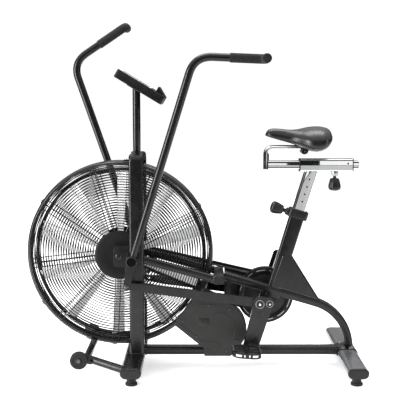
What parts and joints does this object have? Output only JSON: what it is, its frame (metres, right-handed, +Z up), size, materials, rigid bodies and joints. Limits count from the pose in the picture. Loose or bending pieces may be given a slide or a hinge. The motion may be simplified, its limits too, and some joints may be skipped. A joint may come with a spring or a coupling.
{
  "type": "air bike",
  "caption": "Upright fan exercise bike: wire-guarded fan on a forked steel frame, swinging handles linked to the cranks, chain drive and adjustable saddle.",
  "frame": {"origin": "on the floor under the middle of the machine's bounding box", "axes": "+Z up, -X towards the fan at the front, -Y towards the rider's right side"},
  "size_m": [1.294, 0.593, 1.3523],
  "materials": {
    "black_paint": "satin powder coat",
    "silver_paint": "satin silver paint",
    "cap_plastic": "fine grain",
    "cover_plastic": "fine grain",
    "rubber": "matte",
    "foam": "closed-cell foam",
    "chrome": "bright",
    "steel": "zinc plated",
    "fan_metal": "rolled sheet",
    "saddle_skin": "glossy vinyl",
    "screen_glass": "clear window over a display"
  },
  "bodies": {
    "frame": {"front_stabilizer": "black_paint", "rear_stabilizer": "silver_paint", "front_right_cap": "cap_plastic", "front_left_cap": "cap_plastic", "rear_right_cap": "cap_plastic", "rear_left_cap": "cap_plastic", "front_right_foot": "rubber", "front_left_foot": "rubber", "rear_right_foot": "rubber", "rear_left_foot": "rubber", "base_tube": "black_paint", "right_upright": "black_paint", "left_upright": "black_paint", "top_bridge": "black_paint", "mast": "black_paint", "right_pivot_stub": "steel", "left_pivot_stub": "steel", "right_side_stay": "black_paint", "left_side_stay": "black_paint", "cross_tube": "black_paint", "main_stay": "black_paint", "bottom_bracket": "black_paint", "seat_tube": "black_paint", "seat_collar": "cap_plastic", "fan_axle": "steel", "right_guard": "black_paint", "left_guard": "black_paint", "chain": "steel", "chain_guard": "cover_plastic", "side_cover": "cover_plastic", "wheel_bar": "black_paint", "console_housing": "cover_plastic", "console_screen": "screen_glass"},
    "fan": {"fan_rotor": "fan_metal", "fan_sprocket": "steel"},
    "crank": {"crank_axle": "steel", "chainring": "steel", "right_inner_crank": "steel", "left_inner_crank": "steel", "right_crank_arm": "black_paint", "left_crank_arm": "black_paint"},
    "right_pedal": {"right_pedal": "cap_plastic"},
    "left_pedal": {"left_pedal": "cap_plastic"},
    "right_rod": {"right_rod": "black_paint"},
    "left_rod": {"left_rod": "black_paint"},
    "right_arm": {"right_arm": "black_paint", "right_grip": "foam"},
    "left_arm": {"left_arm": "black_paint", "left_grip": "foam"},
    "seat_post": {"seat_post": "chrome"},
    "seat_slide": {"seat_rail": "chrome", "saddle_base": "cap_plastic", "saddle_cushion": "saddle_skin"},
    "height_knob": {"height_knob": "cap_plastic"},
    "slide_knob": {"slide_knob": "cap_plastic"},
    "start_button": {"start_button": "rubber"},
    "mode_button": {"mode_button": "rubber"},
    "stop_button": {"stop_button": "rubber"},
    "right_wheel": {"right_wheel": "rubber"},
    "left_wheel": {"left_wheel": "rubber"}
  },
  "joints": [
    {"name": "crank_spin", "type": "hinge", "parent": "frame", "child": "crank", "pos_m": [0.287, 0, 0.268], "axis": [0, 1, 0], "continuous": true},
    {"name": "fan_spin", "type": "hinge", "parent": "frame", "child": "fan", "pos_m": [-0.284, 0, 0.45], "axis": [0, 1, 0], "continuous": true},
    {"name": "right_rod_turn", "type": "hinge", "parent": "crank", "child": "right_rod", "pos_m": [0.25305, -0.126, 0.27838], "axis": [0, 1, 0], "continuous": true},
    {"name": "left_rod_turn", "type": "hinge", "parent": "crank", "child": "left_rod", "pos_m": [0.32095, 0.126, 0.25762], "axis": [0, 1, 0], "continuous": true},
    {"name": "right_pedal_spin", "type": "hinge", "parent": "crank", "child": "right_pedal", "pos_m": [0.1995, -0.23, 0.11645], "axis": [0, 1, 0], "continuous": true},
    {"name": "left_pedal_spin", "type": "hinge", "parent": "crank", "child": "left_pedal", "pos_m": [0.3745, 0.23, 0.41955], "axis": [0, 1, 0], "continuous": true},
    {"name": "right_arm_swing", "type": "hinge", "parent": "frame", "child": "right_arm", "pos_m": [-0.2267, -0.165, 0.4466], "axis": [0, 1, 0], "range_deg": [-38, 2]},
    {"name": "left_arm_swing", "type": "hinge", "parent": "frame", "child": "left_arm", "pos_m": [-0.2267, 0.165, 0.4466], "axis": [0, 1, 0], "range_deg": [-2, 38]},
    {"name": "seat_height", "type": "slide", "parent": "frame", "child": "seat_post", "axis": [0.2924, 0, 0.9563], "range_m": [-0.118, 0.1]},
    {"name": "seat_fore_aft", "type": "slide", "parent": "seat_post", "child": "seat_slide", "axis": [1, 0, 0], "range_m": [-0.06, 0.09]},
    {"name": "height_pin_pull", "type": "slide", "parent": "frame", "child": "height_knob", "axis": [-0.9563, 0, 0.2924], "range_m": [0, 0.01], "stiffness_N_per_m": 1500, "springref_m": -0.004},
    {"name": "slide_pin_pull", "type": "slide", "parent": "seat_post", "child": "slide_knob", "axis": [0, 0, -1], "range_m": [0, 0.01], "stiffness_N_per_m": 1500, "springref_m": -0.004},
    {"name": "right_wheel_spin", "type": "hinge", "parent": "frame", "child": "right_wheel", "pos_m": [-0.4255, -0.205, 0.0775], "axis": [0, 1, 0], "continuous": true},
    {"name": "left_wheel_spin", "type": "hinge", "parent": "frame", "child": "left_wheel", "pos_m": [-0.4255, 0.205, 0.0775], "axis": [0, 1, 0], "continuous": true},
    {"name": "start_press", "type": "slide", "parent": "frame", "child": "start_button", "axis": [-0.515, 0, -0.8572], "range_m": [0, 0.0015], "stiffness_N_per_m": 600, "springref_m": -0.001},
    {"name": "mode_press", "type": "slide", "parent": "frame", "child": "mode_button", "axis": [-0.515, 0, -0.8572], "range_m": [0, 0.0015], "stiffness_N_per_m": 600, "springref_m": -0.001},
    {"name": "stop_press", "type": "slide", "parent": "frame", "child": "stop_button", "axis": [-0.515, 0, -0.8572], "range_m": [0, 0.0015], "stiffness_N_per_m": 600, "springref_m": -0.001}
  ],
  "couplings": [
    {"joint": "fan_spin", "follows": "crank_spin", "ratio": 3},
    {"joint": "right_rod_turn", "follows": "crank_spin", "ratio": -1},
    {"joint": "left_rod_turn", "follows": "crank_spin", "ratio": -1},
    {"joint": "left_arm_swing", "follows": "right_arm_swing", "ratio": -1}
  ]
}
